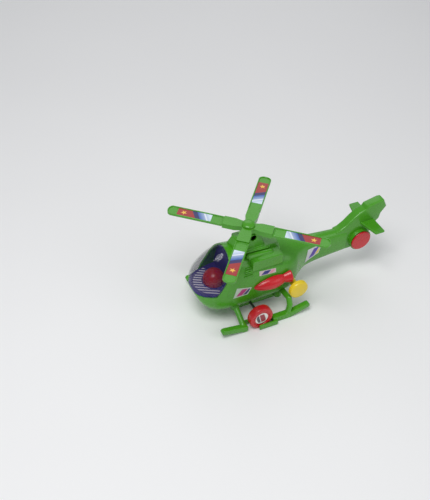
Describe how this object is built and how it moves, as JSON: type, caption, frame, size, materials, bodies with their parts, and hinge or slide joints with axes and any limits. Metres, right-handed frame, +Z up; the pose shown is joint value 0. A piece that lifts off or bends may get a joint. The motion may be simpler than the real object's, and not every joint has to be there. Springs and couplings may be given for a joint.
{
  "type": "toy helicopter",
  "caption": "Wind-up toy helicopter: hollow moulded body, smoked canopy, cross rotor, skids with road wheels, winding knob and bell.",
  "frame": {"origin": "centre of the toy's bounding box, on the ground it stands on", "axes": "+X towards the nose, +Y to port (the pilot's left), +Z up"},
  "size_m": [0.246, 0.1372, 0.1137],
  "materials": {
    "green_gloss": "glossy injection-moulded plastic",
    "smoked_clear": "smoked blue clear plastic, polished",
    "tray_navy": "dark blue plastic with a printed dial",
    "red_gloss": "glossy red plastic",
    "yellow_gloss": "glossy yellow plastic",
    "bush_brass": "turned brass",
    "screw_steel": "zinc-plated steel",
    "plate_grey": "stamped aluminium",
    "bell_steel": "nickel-plated bell",
    "dark_steel": "dark drawn steel",
    "spring_steel": "blued spring steel",
    "gear_cream": "natural acetal, satin"
  },
  "bodies": {
    "fuselage": {"body_shell_port": "green_gloss", "body_shell_starboard": "green_gloss", "canopy": "smoked_clear", "cockpit_tray": "tray_navy", "pilot_dome": "red_gloss", "mast_cowl": "green_gloss", "mast_bush": "bush_brass", "engine_pod_port": "green_gloss", "engine_pod_starboard": "green_gloss", "missile_port": "red_gloss", "missile_starboard": "red_gloss", "skid_port": "green_gloss", "skid_starboard": "green_gloss", "skid_screws": "screw_steel", "body_screws": "screw_steel", "stabilizer": "green_gloss", "tail_disc": "red_gloss", "motor_plate_port": "plate_grey", "motor_plate_starboard": "plate_grey", "motor_pillars": "plate_grey", "shaft_bracket": "plate_grey", "motor_cover": "green_gloss", "bell": "bell_steel", "bell_post": "plate_grey", "striker_pin": "screw_steel"},
    "rotor": {"rotor_hub": "green_gloss", "rotor_cap": "green_gloss", "rotor_blade_1": "green_gloss", "rotor_blade_2": "green_gloss", "rotor_blade_3": "green_gloss", "rotor_blade_4": "green_gloss", "rotor_shaft": "dark_steel", "rotor_pinion": "gear_cream"},
    "wheels": {"wheel_axle": "dark_steel", "wheel_port": "red_gloss", "wheel_starboard": "red_gloss", "axle_gear": "gear_cream"},
    "winder": {"winding_knob": "yellow_gloss", "winding_arbor": "dark_steel", "great_wheel": "gear_cream", "mainspring": "spring_steel"},
    "second_gear": {"second_arbor": "dark_steel", "second_wheel": "gear_cream"},
    "third_gear": {"third_arbor": "dark_steel", "third_wheel": "gear_cream"},
    "striker": {"striker": "dark_steel"}
  },
  "joints": [
    {"name": "rotor_spin", "type": "hinge", "parent": "fuselage", "child": "rotor", "pos_m": [0.05447, 0, 0.1], "axis": [0, 0, 1], "continuous": true},
    {"name": "axle_spin", "type": "hinge", "parent": "fuselage", "child": "wheels", "pos_m": [0.05447, 0, 0.014], "axis": [0, 1, 0], "continuous": true},
    {"name": "third_gear_spin", "type": "hinge", "parent": "fuselage", "child": "third_gear", "pos_m": [0.03461, 0, 0.0225], "axis": [0, 1, 0], "continuous": true},
    {"name": "second_gear_spin", "type": "hinge", "parent": "fuselage", "child": "second_gear", "pos_m": [0.02267, 0, 0.03431], "axis": [0, 1, 0], "continuous": true},
    {"name": "winder_spin", "type": "hinge", "parent": "fuselage", "child": "winder", "pos_m": [0.00747, 0, 0.0345], "axis": [0, 1, 0], "continuous": true},
    {"name": "striker_swing", "type": "hinge", "parent": "fuselage", "child": "striker", "pos_m": [0.04147, 0.0087, 0.044], "axis": [0, 1, 0], "range_deg": [-4, 6], "stiffness_Nm_per_rad": 0.004}
  ],
  "couplings": [
    {"joint": "axle_spin", "follows": "rotor_spin", "ratio": -0.66667},
    {"joint": "third_gear_spin", "follows": "rotor_spin", "ratio": 0.33333},
    {"joint": "second_gear_spin", "follows": "rotor_spin", "ratio": -0.13333},
    {"joint": "winder_spin", "follows": "rotor_spin", "ratio": 0.061539}
  ]
}
